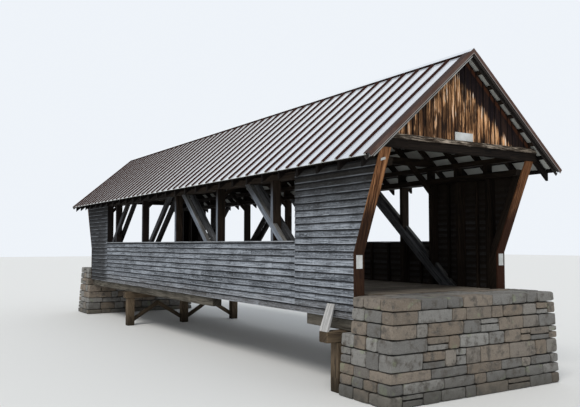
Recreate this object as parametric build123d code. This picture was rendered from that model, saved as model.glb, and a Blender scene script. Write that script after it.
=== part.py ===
"""Covered timber bridge: two braced trusses under a ribbed metal roof, sided with clapboards.

Millimetres. X runs along the roadway, with the front portal at +X, Y across it, Z up.
The origin is on the ground under the middle of the bridge.
"""

import os
from math import atan, ceil, cos, radians, sin, tan

from build123d import *

# Heights that the rest is measured from
CLEARANCE = 1600.0          # ground to the underside of the siding and the lower chords
DECK_HEIGHT = 520.0         # siding's foot to the top of the deck
SILL_HEIGHT = 1670.0        # siding's foot to the top of the low siding
KINK_HEIGHT = 1420.0        # siding's foot to where the wall ends start to lean out
PLATE_HEIGHT = 3770.0       # siding's foot to the rafters' seat
SEAT_CUT = 69.4             # how deep the plate's outer edge is let into the rafters
PORTAL_DROP = 160.0         # rafters' seat to the underside of the portal beams
TOP_CHORD_DROP = 360.0      # rafters' seat to the top of the upper chords

# Plan
WALL_HALF_LENGTH = 10000.0  # middle of the bridge to the upright part of a wall end
LEAN = 920.0                # how far a wall end leans out, from the kink to the portal beam
WINDOW_HALF_LENGTH = 7650.0
WALL_HALF_WIDTH = 2370.0    # to the siding's outer face
SIDING = 30.0
TRUSS_WIDTH = 400.0         # across both plies of a chord

# Roof
EAVE_HALF_WIDTH = 2930.0
PITCH = 40.5
RAKE_OVERHANG = 220.0       # portal beam's face to the roof's end
SHEET = 10.0
RIB_HEIGHT = 38.0
RIB_FOOT = 70.0
RIB_TOP = 40.0
RIB_SPACING = 495.0
PURLIN_DEPTH = 45.0
PURLIN_WIDTH = 90.0
PURLIN_COUNT = 9
PURLIN_EDGE = 20.0          # outermost purlins to the ridge and to the eave's edge
RAFTER_DEPTH = 150.0
RAFTER_WIDTH = 75.0
RAFTER_SPACING = 812.5
TAIL_SETBACK = 60.0         # rafter tail short of the sheet's eave
RIDGE_CAP_WIDTH = 110.0
RIDGE_CAP = 4.0
RAKE_BOARD = 25.0
RAKE_DEPTH = 70.0
RAKE_SETBACK = 120.0        # roof's end to the rake board's face
RAKE_REACH = 45.0           # rake boards and trim past the sheet's eave
TRIM = 8.0
TRIM_DEPTH = 110.0

# Trusses
CHORD_DEPTH = 240.0
TOP_CHORD_DEPTH = 140.0
PLATE_DEPTH = 130.0
PLATE_WIDTH = 200.0
POST_SPACING = 3250.0
POSTS_EACH_WAY = 2          # either side of the middle post, before the ones at the ends
POST_WIDTH = 120.0
POST_DEPTH = 250.0
BRACE_DEPTH = 180.0
BRACE_PLY = 130.0
BRACE_MIDDLES = (2430.0, 6910.0)
BRACE_MIDDLE_HEIGHT = 1730.0
BRACE_RUN = 1.15            # level run for each unit of rise
END_POST_WIDTH = 200.0
STUD_WIDTH = 60.0
STUD_DEPTH = 90.0
STUD_SPACING = 820.0        # the most between studs or posts under the window
END_STUDS = 1               # between two posts of an end panel

# Ties, knees, gables and portals
TIE_DEPTH = 190.0
TIE_WIDTH = 150.0
TIES_EACH_WAY = 1           # either side of the middle tie, before the ones at window ends
TIE_NOTCH = 0.6             # share of a rafter's depth cut away where it crosses a tie
KNEE_LEG = 760.0
KNEE_DEPTH = 110.0
KNEE_WIDTH = 100.0
PORTAL_BEAM_DEPTH = 280.0
PORTAL_BEAM_WIDTH = 180.0
PORTAL_STRIP = 30.0         # board along the top of the portal beam's face
PORTAL_STRIP_DEPTH = 100.0
GABLE_BOARD = 30.0
GABLE_SETBACK = 60.0        # portal beam's face to the gable boards' face
JAMB_BOARD = 35.0
JAMB_WIDTH = 270.0
JAMB_SETBACK = 130.0        # portal beam's face to the top of the jambs' face
MARKER_WIDTH = 165.0
MARKER_HEIGHT = 290.0
MARKER = 6.0
NOTICE_WIDTH = 540.0
NOTICE_HEIGHT = 185.0
NOTICE = 18.0
NOTICE_LIFT = 5.0           # above the portal beam
NOTICE_ASIDE = 60.0         # middle of the roadway to the notice's middle
SILL_CAP = 30.0
SILL_CAP_WIDTH = 65.0

# Floor
PLANK = 80.0
FLOOR_BEAM_DEPTH = 200.0
FLOOR_BEAM_WIDTH = 200.0
FLOOR_SPACING = 1083.0
LEDGER_WIDTH = 120.0
LEDGER_DEPTH = 200.0
FLOOR_GAP = 10.0            # deck's edge to the trusses

# Substructure
BOLSTER_DEPTH = 270.0
BOLSTER_WIDTH = 300.0
FRONT_BOLSTER_LENGTH = 1930.0
BACK_BOLSTER_LENGTH = 12900.0
CAP_DEPTH = 240.0
CAP_WIDTH = 300.0
FRONT_BENT_INSET = 530.0    # wall's end to the middle of the front bent
FRONT_CAP_HALF_LENGTH = 2800.0
RIVER_BENT_X = -4650.0
RIVER_CAP_HALF_LENGTH = 2550.0
LEG = 280.0
FRONT_LEG_OUT = 2360.0      # middle of the bridge to the middle of an outer leg
RIVER_LEG_OUT = 2300.0
STRUT_DEPTH = 150.0
STRUT_WIDTH = 80.0
STRUT_FOOT = 150.0          # ground to the lower end of a strut
RIVER_STRUT_DROP = 320.0    # cap to where two struts of the river bent meet
STAY_WIDTH = 180.0
STAY_THICKNESS = 50.0
STAY_TOP = 500.0            # siding's foot to the stay's upper end
ABUTMENT_SEAT = 270.0       # seat's length under the bolster ends
ABUTMENT_BACK = 1400.0
ABUTMENT_HALF_WIDTH = 2450.0
ABUTMENT_BATTER = 150.0     # how far each side leans in from foot to top
ABUTMENT_GAP = 20.0

BASE = CLEARANCE
TAN = tan(radians(PITCH))
COS = cos(radians(PITCH))
SIN = sin(radians(PITCH))
FRONT_BENT_X = WALL_HALF_LENGTH - FRONT_BENT_INSET

TRUSS_OUT = WALL_HALF_WIDTH - SIDING
TRUSS_IN = TRUSS_OUT - TRUSS_WIDTH
TRUSS_MID = (TRUSS_OUT + TRUSS_IN) / 2
PLATE_Z = BASE + PLATE_HEIGHT
TIE_TOP_Z = PLATE_Z + TIE_DEPTH
CHORD_TOP_Z = BASE + CHORD_DEPTH
TOP_CHORD_Z = PLATE_Z - TOP_CHORD_DROP
TOP_CHORD_FOOT_Z = TOP_CHORD_Z - TOP_CHORD_DEPTH
KINK_Z = BASE + KINK_HEIGHT
PORTAL_Z = PLATE_Z - PORTAL_DROP
PORTAL_TOP_Z = PORTAL_Z + PORTAL_BEAM_DEPTH
LEAN_RISE = PORTAL_Z - KINK_Z
PORTAL_X = WALL_HALF_LENGTH + LEAN + JAMB_BOARD + JAMB_SETBACK
PORTAL_BACK_X = PORTAL_X - PORTAL_BEAM_WIDTH
GABLE_X = PORTAL_X - GABLE_SETBACK
ROOF_HALF_LENGTH = PORTAL_X + RAKE_OVERHANG
PURLIN_END_X = ROOF_HALF_LENGTH - RAKE_SETBACK - RAKE_BOARD
RAFTER_DROP = SHEET + PURLIN_DEPTH
RAFTER_FOOT = RAFTER_DROP + RAFTER_DEPTH
PLATE_OUT = TRUSS_MID + PLATE_WIDTH / 2
PLATE_IN = TRUSS_MID - PLATE_WIDTH / 2
RIDGE_Z = PLATE_Z - SEAT_CUT + PLATE_OUT * TAN + RAFTER_FOOT / COS


def block(x0, x1, y0, y1, z0, z1):
    """A squared timber or block between two corners."""
    middle = Pos((x0 + x1) / 2, (y0 + y1) / 2, (z0 + z1) / 2)
    return middle * Box(abs(x1 - x0), abs(y1 - y0), abs(z1 - z0))


def side_prism(points, y0, y1):
    """An outline of (x, z) points, carried across from y0 to y1."""
    outline = make_face(Polyline(*[(x, y0, z) for x, z in points], close=True))
    return extrude(outline, amount=abs(y1 - y0), dir=(0, 1 if y1 > y0 else -1, 0))


def cross_prism(points, x0, x1):
    """An outline of (y, z) points, carried along from x0 to x1."""
    outline = make_face(Polyline(*[(x0, y, z) for y, z in points], close=True))
    return extrude(outline, amount=abs(x1 - x0), dir=(1 if x1 > x0 else -1, 0, 0))


def other_side(piece):
    return mirror(piece, about=Plane.XZ)


def other_end(piece):
    return mirror(piece, about=Plane.YZ)


def roof_z(y, drop=0.0):
    """Height of a plane parallel to the roof, drop below the sheet's top, at y."""
    return RIDGE_Z - abs(y) * TAN - drop / COS


def roof_y(z, drop=0.0):
    """Distance from the middle at which that plane reaches the height z."""
    return (RIDGE_Z - drop / COS - z) / TAN


def write(name, pieces):
    """One file for each node."""
    solids = pieces if isinstance(pieces, list) else [pieces]
    solids = [solid for piece in solids for solid in piece.solids()]
    shape = solids[0] if len(solids) == 1 else Compound(children=solids)
    export_step(shape, f"parts/{name}.step")


def pair(name, left_piece):
    """A piece for each side of the roadway, from the left one."""
    pieces = left_piece if isinstance(left_piece, list) else [left_piece]
    write(f"left_{name}", pieces)
    write(f"right_{name}", [other_side(piece) for piece in pieces])


def both_ends(name, front_piece):
    pieces = front_piece if isinstance(front_piece, list) else [front_piece]
    write(f"front_{name}", pieces)
    write(f"back_{name}", [other_end(piece) for piece in pieces])


def stations(spacing, half_length, half_way):
    """Places along X, symmetric about the middle, half a space off it or on it."""
    first = spacing / 2 if half_way else 0.0
    places = []
    x = first
    while x <= half_length:
        places += [x] if x == 0 else [-x, x]
        x += spacing
    return sorted(places)


# Roof covering

def roof_sheet():
    """The left slope: flat pans between standing ribs, one profile run down the slope."""
    slope = EAVE_HALF_WIDTH / COS
    ribs = stations(RIB_SPACING, ROOF_HALF_LENGTH - RIB_FOOT, True)
    upper = []
    for x in ribs:
        upper += [(x - RIB_FOOT / 2, 0), (x - RIB_TOP / 2, RIB_HEIGHT)]
        upper += [(x + RIB_TOP / 2, RIB_HEIGHT), (x + RIB_FOOT / 2, 0)]
    outline = [(-ROOF_HALF_LENGTH, -SHEET), (-ROOF_HALF_LENGTH, 0), *upper]
    outline += [(ROOF_HALF_LENGTH, 0), (ROOF_HALF_LENGTH, -SHEET)]
    profile = make_face(Polyline(*[(x, 0, z) for x, z in outline], close=True))
    sheet = extrude(profile, amount=slope, dir=(0, -1, 0))
    ridge_relief = RIB_HEIGHT * TAN
    sheet = sheet - block(-ROOF_HALF_LENGTH, ROOF_HALF_LENGTH, 0, -ridge_relief, 0, 2 * RIB_HEIGHT)
    sheet = Pos(0, 0, RIDGE_Z) * Rot(PITCH, 0, 0) * sheet
    middle_cut = block(-ROOF_HALF_LENGTH, ROOF_HALF_LENGTH, 0, RIDGE_CAP_WIDTH,
                       RIDGE_Z - RIDGE_CAP_WIDTH, RIDGE_Z + RIDGE_CAP_WIDTH)
    return sheet - middle_cut


def ridge_cap():
    """A folded strip that sits on the ribs of both slopes."""
    lift = RIB_HEIGHT / COS
    low = RIDGE_CAP_WIDTH
    lower = [(-low, roof_z(low) + lift), (0, RIDGE_Z + lift), (low, roof_z(low) + lift)]
    upper = [(y, z + RIDGE_CAP / COS) for y, z in reversed(lower)]
    half = ROOF_HALF_LENGTH + TRIM
    return cross_prism(lower + upper, -half, half)


def purlins():
    """Strips along the left slope that the sheet is screwed to."""
    first = PURLIN_WIDTH / 2 + RAFTER_DROP * TAN + PURLIN_EDGE
    last = EAVE_HALF_WIDTH / COS - PURLIN_WIDTH / 2 - PURLIN_EDGE
    pieces = []
    for number in range(PURLIN_COUNT):
        along = first + (last - first) * number / (PURLIN_COUNT - 1)
        bar = Box(2 * PURLIN_END_X, PURLIN_WIDTH, PURLIN_DEPTH)
        bar = Pos(0, -along, -SHEET - PURLIN_DEPTH / 2) * bar
        pieces.append(Pos(0, 0, RIDGE_Z) * Rot(PITCH, 0, 0) * bar)
    return pieces


def slope_strip(upper, lower, reach, x0, x1):
    """A strip down the left slope between two depths below the sheet's top, square-ended."""
    tuck = reach - (lower - upper) * SIN
    points = [(0, roof_z(0, upper)), (-reach, roof_z(reach, upper)),
              (-tuck, roof_z(tuck, lower)), (0, roof_z(0, lower))]
    return cross_prism(points, x0, x1)


def rake_board():
    """Left front board that the purlins end against."""
    return slope_strip(SHEET, SHEET + RAKE_DEPTH, EAVE_HALF_WIDTH + RAKE_REACH,
                       PURLIN_END_X, PURLIN_END_X + RAKE_BOARD)


def rake_trim():
    """Left front angle of metal: a flange on the outermost rib, a leaf over the roof's end."""
    last_rib = stations(RIB_SPACING, ROOF_HALF_LENGTH - RIB_FOOT, True)[-1]
    reach = EAVE_HALF_WIDTH + RAKE_REACH
    top = -RIB_HEIGHT - TRIM
    flange = slope_strip(top, -RIB_HEIGHT, reach, last_rib - RIB_TOP / 2, ROOF_HALF_LENGTH + TRIM)
    leaf = slope_strip(top, top + TRIM_DEPTH, reach, ROOF_HALF_LENGTH, ROOF_HALF_LENGTH + TRIM)
    low = RIDGE_CAP_WIDTH
    over = [(0, roof_z(0, -RIB_HEIGHT)), (-low, roof_z(low, -RIB_HEIGHT)), (-low, 2 * RIDGE_Z),
            (0, 2 * RIDGE_Z)]
    return flange + leaf - cross_prism(over, 0, 2 * ROOF_HALF_LENGTH)


# Roof frame

def rafter(x, ties):
    """A left rafter with a level seat on the plate, notched over a tie it crosses."""
    tail = EAVE_HALF_WIDTH - TAIL_SETBACK
    seat_in = roof_y(PLATE_Z, RAFTER_FOOT)
    points = [(0, roof_z(0, RAFTER_DROP)), (-tail, roof_z(tail, RAFTER_DROP)),
              (-tail, roof_z(tail, RAFTER_FOOT)), (-PLATE_OUT, roof_z(PLATE_OUT, RAFTER_FOOT)),
              (-PLATE_OUT, PLATE_Z), (-seat_in, PLATE_Z), (0, roof_z(0, RAFTER_FOOT))]
    piece = cross_prism(points, x - RAFTER_WIDTH / 2, x + RAFTER_WIDTH / 2)
    for place in ties:
        if abs(x - place) < (RAFTER_WIDTH + TIE_WIDTH) / 2:
            piece = piece - tie_beam(place)
    return piece


def gable_rafter():
    """The left rafter behind the front gable boards, standing on the portal beam."""
    points = [(0, roof_z(0, RAFTER_DROP)), (-roof_y(PORTAL_TOP_Z, RAFTER_DROP), PORTAL_TOP_Z),
              (-roof_y(PORTAL_TOP_Z, RAFTER_FOOT), PORTAL_TOP_Z), (0, roof_z(0, RAFTER_FOOT))]
    face = GABLE_X - GABLE_BOARD
    return cross_prism(points, face - RAFTER_WIDTH, face)


def tie_beam(x):
    """A beam over the roadway from plate to plate, its ends cut to the slope."""
    notch = RAFTER_DROP + (1 - TIE_NOTCH) * RAFTER_DEPTH
    shoulder = roof_y(TIE_TOP_Z, notch)
    points = [(-PLATE_OUT, PLATE_Z), (PLATE_OUT, PLATE_Z), (PLATE_OUT, roof_z(PLATE_OUT, notch)),
              (shoulder, TIE_TOP_Z), (-shoulder, TIE_TOP_Z), (-PLATE_OUT, roof_z(PLATE_OUT, notch))]
    return cross_prism(points, x - TIE_WIDTH / 2, x + TIE_WIDTH / 2)


def knee_brace(x):
    """A slanted strut from a left post up to the tie beam, housed round the upper chord."""
    face = TRUSS_OUT - POST_DEPTH
    low = PLATE_Z - KNEE_LEG
    inner = face - KNEE_LEG
    step = KNEE_DEPTH * 2 ** 0.5
    points = [(-face, low), (-inner, PLATE_Z), (-inner - step, PLATE_Z), (-face, low + step)]
    whole = cross_prism(points, x - KNEE_WIDTH / 2, x + KNEE_WIDTH / 2)
    chord = block(x - KNEE_WIDTH, x + KNEE_WIDTH, -TRUSS_OUT, -TRUSS_IN,
                  TOP_CHORD_FOOT_Z, TOP_CHORD_Z)
    return whole - chord


# Trusses

def brace_outline(middle, way):
    """The (x, z) outline of a main brace that leans up towards the middle of the bridge."""
    half = BRACE_DEPTH * (1 + BRACE_RUN ** 2) ** 0.5 / 2
    middle_z = BASE + BRACE_MIDDLE_HEIGHT
    foot = middle + (middle_z - CHORD_TOP_Z) * BRACE_RUN
    head = middle + (middle_z - TOP_CHORD_FOOT_Z) * BRACE_RUN
    points = [(foot - half, CHORD_TOP_Z), (foot + half, CHORD_TOP_Z),
              (head + half, TOP_CHORD_FOOT_Z), (head - half, TOP_CHORD_FOOT_Z)]
    return [(way * x, z) for x, z in points]


def brace_plies():
    """The left truss's main braces, each of two timbers side by side."""
    pieces = []
    for middle in BRACE_MIDDLES:
        for way in (-1, 1):
            outline = brace_outline(middle, way)
            pieces.append(side_prism(outline, -TRUSS_OUT, -TRUSS_OUT + BRACE_PLY))
            pieces.append(side_prism(outline, -TRUSS_IN - BRACE_PLY, -TRUSS_IN))
    return pieces


def post_places():
    """Middles of the uprights: evenly spaced ones, then three in each end panel."""
    last = WALL_HALF_LENGTH - END_POST_WIDTH - POST_WIDTH / 2
    window = WINDOW_HALF_LENGTH + POST_WIDTH / 2
    middle = (window + last) / 2
    inner = [number * POST_SPACING for number in range(-POSTS_EACH_WAY, POSTS_EACH_WAY + 1)]
    return [-last, -middle, -window, *inner, window, middle, last]


def tie_places():
    """Middles of the tie beams, all of them over posts."""
    window = WINDOW_HALF_LENGTH + POST_WIDTH / 2
    inner = [number * POST_SPACING for number in range(-TIES_EACH_WAY, TIES_EACH_WAY + 1)]
    return [-window, *inner, window]


def posts(braces):
    """The left truss's uprights, cut where an outer brace timber passes, and their stubs."""
    pieces = []
    for x in post_places():
        piece = block(x - POST_WIDTH / 2, x + POST_WIDTH / 2, -TRUSS_OUT,
                      -TRUSS_OUT + POST_DEPTH, CHORD_TOP_Z, TOP_CHORD_FOOT_Z)
        for brace in braces:
            piece = piece - brace
        pieces.append(piece)
        pieces.append(block(x - POST_WIDTH / 2, x + POST_WIDTH / 2, -PLATE_OUT, -PLATE_IN,
                            TOP_CHORD_Z, PLATE_Z - PLATE_DEPTH))
    return pieces


def studs(braces):
    """Light uprights that the left siding is nailed to, cut round the outer brace timbers."""
    pieces = []
    places = post_places()
    for near, far in zip(places, places[1:]):
        low = abs(near + far) / 2 < WINDOW_HALF_LENGTH
        bays = ceil((far - near) / STUD_SPACING) if low else END_STUDS + 1
        top = BASE + SILL_HEIGHT if low else TOP_CHORD_FOOT_Z
        for number in range(1, bays):
            x = near + (far - near) * number / bays
            piece = block(x - STUD_WIDTH / 2, x + STUD_WIDTH / 2, -TRUSS_OUT,
                          -TRUSS_OUT + STUD_DEPTH, CHORD_TOP_Z, top)
            for brace in braces:
                piece = piece - brace
            lengths = piece.solids().sort_by(Axis.Z)
            pieces += lengths[:1] if low else lengths
    return pieces


def lean_x(z):
    """Where a leaning wall end stands at the height z."""
    return WALL_HALF_LENGTH + LEAN * (z - KINK_Z) / LEAN_RISE


def end_frame():
    """The left front end post: upright to the kink, then leaning out to the upper chord."""
    points = [(WALL_HALF_LENGTH, CHORD_TOP_Z), (WALL_HALF_LENGTH, KINK_Z),
              (lean_x(TOP_CHORD_FOOT_Z), TOP_CHORD_FOOT_Z),
              (lean_x(TOP_CHORD_FOOT_Z) - END_POST_WIDTH, TOP_CHORD_FOOT_Z),
              (WALL_HALF_LENGTH - END_POST_WIDTH, KINK_Z),
              (WALL_HALF_LENGTH - END_POST_WIDTH, CHORD_TOP_Z)]
    return side_prism(points, -TRUSS_OUT, -TRUSS_OUT + POST_DEPTH)


def top_chord():
    """Left upper chord; its ends follow the lean of the walls."""
    points = [(-lean_x(TOP_CHORD_FOOT_Z), TOP_CHORD_FOOT_Z), (-lean_x(TOP_CHORD_Z), TOP_CHORD_Z),
              (lean_x(TOP_CHORD_Z), TOP_CHORD_Z), (lean_x(TOP_CHORD_FOOT_Z), TOP_CHORD_FOOT_Z)]
    return side_prism(points, -TRUSS_OUT, -TRUSS_IN)


def bottom_chord():
    return block(-WALL_HALF_LENGTH, WALL_HALF_LENGTH, -TRUSS_OUT, -TRUSS_IN, BASE, CHORD_TOP_Z)


def plate():
    """Left wall plate on the posts' stubs, between the portal beams; it carries the rafters."""
    return block(-PORTAL_BACK_X, PORTAL_BACK_X, -PLATE_OUT, -PLATE_IN,
                 PLATE_Z - PLATE_DEPTH, PLATE_Z)


# Walls, gables and portals

def low_siding():
    """Left wall below the long window."""
    return block(-WINDOW_HALF_LENGTH, WINDOW_HALF_LENGTH, -WALL_HALF_WIDTH,
                 -WALL_HALF_WIDTH + SIDING, BASE, BASE + SILL_HEIGHT)


def end_siding():
    """Full-height left wall at the front, with its leaning end."""
    top = TOP_CHORD_Z
    points = [(WINDOW_HALF_LENGTH, BASE), (WALL_HALF_LENGTH, BASE), (WALL_HALF_LENGTH, KINK_Z),
              (lean_x(top), top), (WINDOW_HALF_LENGTH, top)]
    return side_prism(points, -WALL_HALF_WIDTH, -WALL_HALF_WIDTH + SIDING)


def sill_cap():
    top = BASE + SILL_HEIGHT
    outer = -WALL_HALF_WIDTH - (SILL_CAP_WIDTH - SIDING)
    return block(-WINDOW_HALF_LENGTH, WINDOW_HALF_LENGTH, outer, outer + SILL_CAP_WIDTH,
                 top, top + SILL_CAP)


def jamb():
    """Left front jamb boards: an upright one and a leaning one in one bent outline."""
    top = PORTAL_Z
    slope = atan(LEAN / LEAN_RISE)
    level = JAMB_BOARD / cos(slope)
    joint = KINK_Z - JAMB_BOARD * tan(slope / 2)
    inner = -WALL_HALF_WIDTH + JAMB_WIDTH
    points = [(WALL_HALF_LENGTH, BASE), (WALL_HALF_LENGTH + JAMB_BOARD, BASE),
              (WALL_HALF_LENGTH + JAMB_BOARD, joint), (lean_x(top) + level, top),
              (lean_x(top), top), (WALL_HALF_LENGTH, KINK_Z)]
    return side_prism(points, -WALL_HALF_WIDTH, inner)


def marker():
    """Left front plate on the upright jamb, just below the kink."""
    face = WALL_HALF_LENGTH + JAMB_BOARD
    outer = -WALL_HALF_WIDTH + (JAMB_WIDTH - MARKER_WIDTH) / 2
    top = KINK_Z - MARKER_WIDTH / 4
    return block(face, face + MARKER, outer, outer + MARKER_WIDTH, top - MARKER_HEIGHT, top)


def portal_beam():
    """Beam across the front portal, on the jambs, with a board along the top of its face."""
    foot = min(roof_y(PORTAL_Z, RAFTER_DROP), WALL_HALF_WIDTH)
    head = roof_y(PORTAL_TOP_Z, RAFTER_DROP)
    points = [(-foot, PORTAL_Z), (foot, PORTAL_Z), (foot, roof_z(foot, RAFTER_DROP)),
              (head, PORTAL_TOP_Z), (-head, PORTAL_TOP_Z), (-foot, roof_z(foot, RAFTER_DROP))]
    face = PORTAL_X - PORTAL_STRIP
    low = PORTAL_TOP_Z - PORTAL_STRIP_DEPTH
    strip = cross_prism(points, face, PORTAL_X) - block(face, PORTAL_X, -foot, foot, PORTAL_Z, low)
    return [cross_prism(points, PORTAL_BACK_X, face), strip]


def gable():
    """Front gable boards from the portal beam up to the rafters' top."""
    half = roof_y(PORTAL_TOP_Z, RAFTER_DROP)
    points = [(-half, PORTAL_TOP_Z), (half, PORTAL_TOP_Z), (0, roof_z(0, RAFTER_DROP))]
    return cross_prism(points, GABLE_X - GABLE_BOARD, GABLE_X)


def notice():
    """Small bare board on the front gable."""
    low = PORTAL_TOP_Z + NOTICE_LIFT
    middle = -NOTICE_ASIDE
    return block(GABLE_X, GABLE_X + NOTICE, middle - NOTICE_WIDTH / 2, middle + NOTICE_WIDTH / 2,
                 low, low + NOTICE_HEIGHT)


# Floor

def deck():
    half = TRUSS_IN - FLOOR_GAP
    top = BASE + DECK_HEIGHT
    return block(-WALL_HALF_LENGTH, WALL_HALF_LENGTH, -half, half, top - PLANK, top)


def floor_beam(x):
    half = TRUSS_IN - FLOOR_GAP
    top = BASE + DECK_HEIGHT - PLANK
    return block(x - FLOOR_BEAM_WIDTH / 2, x + FLOOR_BEAM_WIDTH / 2, -half, half,
                 top - FLOOR_BEAM_DEPTH, top)


def ledger():
    """Timber bolted inside the left lower chord, under the floor beams."""
    top = BASE + DECK_HEIGHT - PLANK - FLOOR_BEAM_DEPTH
    return block(-WALL_HALF_LENGTH, WALL_HALF_LENGTH, -TRUSS_IN, -TRUSS_IN + LEDGER_WIDTH,
                 top - LEDGER_DEPTH, top)


# Substructure

def bolster(x0, x1):
    """Timber under the left lower chord."""
    return block(x0, x1, -TRUSS_MID - BOLSTER_WIDTH / 2, -TRUSS_MID + BOLSTER_WIDTH / 2,
                 BASE - BOLSTER_DEPTH, BASE)


def bent_cap(x, half_length):
    top = BASE - BOLSTER_DEPTH
    return block(x - CAP_WIDTH / 2, x + CAP_WIDTH / 2, -half_length, half_length,
                 top - CAP_DEPTH, top)


def bent_legs(x, out):
    """Upright legs under a cap: one under each truss and one between."""
    top = BASE - BOLSTER_DEPTH - CAP_DEPTH
    return [block(x - LEG / 2, x + LEG / 2, y - LEG / 2, y + LEG / 2, 0, top)
            for y in (-out, 0, out)]


def bent_strut(x, leg_face, middle, drop):
    """A plank in the plane of a bent, from a leg's foot up to the bay's middle."""
    top = BASE - BOLSTER_DEPTH - CAP_DEPTH
    rise = top - drop - STRUT_FOOT
    run = abs(middle - leg_face)
    upright = STRUT_DEPTH * (rise ** 2 + run ** 2) ** 0.5 / run
    points = [(leg_face, STRUT_FOOT), (middle, top - drop), (middle, top - drop + upright),
              (leg_face, STRUT_FOOT + upright)]
    whole = cross_prism(points, x - STRUT_WIDTH / 2, x + STRUT_WIDTH / 2)
    return whole - block(x - CAP_WIDTH, x + CAP_WIDTH, -WALL_HALF_WIDTH, WALL_HALF_WIDTH,
                         top, top + 2 * upright)


def bent_struts(x, out, drop):
    """Two struts in each bay of a bent, meeting under the middle of the bay."""
    pieces = []
    for way in (-1, 1):
        middle = way * out / 2
        pieces.append(bent_strut(x, way * LEG / 2, middle, drop))
        pieces.append(bent_strut(x, way * (out - LEG / 2), middle, drop))
    return pieces


def stay():
    """Raking plank from the end of the front cap up to the left siding."""
    foot = BASE - BOLSTER_DEPTH
    top = BASE + STAY_TOP
    wall = -WALL_HALF_WIDTH
    outer = -FRONT_CAP_HALF_LENGTH
    rake = ((wall - outer) ** 2 + (top - foot) ** 2) ** 0.5
    level = STAY_THICKNESS * rake / (top - foot)
    upright = level * (top - foot) / (wall - outer)
    points = [(outer, foot), (outer + level, foot), (wall, top - upright), (wall, top)]
    return cross_prism(points, FRONT_BENT_X - STAY_WIDTH / 2, FRONT_BENT_X + STAY_WIDTH / 2)


def abutment():
    """Front abutment: a seat under the bolsters and a mass behind it up to deck level."""
    seat = BASE - BOLSTER_DEPTH
    face = WALL_HALF_LENGTH - ABUTMENT_SEAT
    back = WALL_HALF_LENGTH + ABUTMENT_BACK
    wall = WALL_HALF_LENGTH + JAMB_BOARD + ABUTMENT_GAP
    top = BASE + DECK_HEIGHT
    half = ABUTMENT_HALF_WIDTH
    foot = half + ABUTMENT_BATTER
    across = [(-foot, 0), (foot, 0), (half, top), (-half, top)]
    mass = cross_prism(across, face, back)
    return mass - block(face - LEG, wall, -2 * half, 2 * half, seat, 2 * top)


def build():
    os.makedirs("parts", exist_ok=True)
    pair("roof", roof_sheet())
    write("ridge_cap", ridge_cap())
    pair("purlins", purlins())
    both_ends("rake_boards", [rake_board(), other_side(rake_board())])
    both_ends("rake_trim", [rake_trim(), other_side(rake_trim())])
    rafter_places = stations(RAFTER_SPACING, WALL_HALF_LENGTH + LEAN / 2, True)
    left_rafters = [rafter(x, tie_places()) for x in rafter_places]
    left_rafters += [gable_rafter(), other_end(gable_rafter())]
    pair("rafters", left_rafters)
    write("tie_beams", [tie_beam(x) for x in tie_places()])
    pair("knee_braces", [knee_brace(x) for x in tie_places()])
    braces = brace_plies()
    pair("braces", braces)
    pair("posts", posts(braces))
    pair("studs", studs(braces))
    pair("end_posts", [end_frame(), other_end(end_frame())])
    pair("top_chord", top_chord())
    pair("bottom_chord", bottom_chord())
    pair("plate", plate())
    pair("low_siding", low_siding())
    pair("front_siding", end_siding())
    pair("back_siding", other_end(end_siding()))
    pair("sill", sill_cap())
    pair("front_jamb", jamb())
    pair("back_jamb", other_end(jamb()))
    fronts = [marker(), other_side(marker())]
    write("markers", [*fronts, *[other_end(piece) for piece in fronts]])
    both_ends("portal_beam", portal_beam())
    both_ends("gable", gable())
    write("notice_board", notice())
    write("deck", deck())
    floor_places = stations(FLOOR_SPACING, WALL_HALF_LENGTH - FLOOR_BEAM_WIDTH / 2, True)
    write("floor_beams", [floor_beam(x) for x in floor_places])
    write("floor_ledgers", [ledger(), other_side(ledger())])
    front = bolster(WALL_HALF_LENGTH - FRONT_BOLSTER_LENGTH, WALL_HALF_LENGTH)
    back = bolster(-WALL_HALF_LENGTH, BACK_BOLSTER_LENGTH - WALL_HALF_LENGTH)
    write("front_bolsters", [front, other_side(front)])
    write("back_bolsters", [back, other_side(back)])
    write("front_bent_cap", bent_cap(FRONT_BENT_X, FRONT_CAP_HALF_LENGTH))
    write("front_bent_legs", bent_legs(FRONT_BENT_X, FRONT_LEG_OUT))
    write("front_bent_struts", bent_struts(FRONT_BENT_X, FRONT_LEG_OUT, 0))
    write("river_bent_cap", bent_cap(RIVER_BENT_X, RIVER_CAP_HALF_LENGTH))
    write("river_bent_legs", bent_legs(RIVER_BENT_X, RIVER_LEG_OUT))
    write("river_bent_struts", bent_struts(RIVER_BENT_X, RIVER_LEG_OUT, RIVER_STRUT_DROP))
    write("stays", [stay(), other_side(stay())])
    both_ends("abutment", abutment())


build()
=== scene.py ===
"""A covered timber bridge: lapped clapboards, a ribbed metal roof, rough timbers, laid stone.

Metres. X runs along the roadway with the front portal at +X, Y across it, Z up.
"""

from math import cos, floor, pi, radians, sin, tan
from random import Random

import bmesh
import bpy
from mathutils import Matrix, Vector, noise


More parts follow.
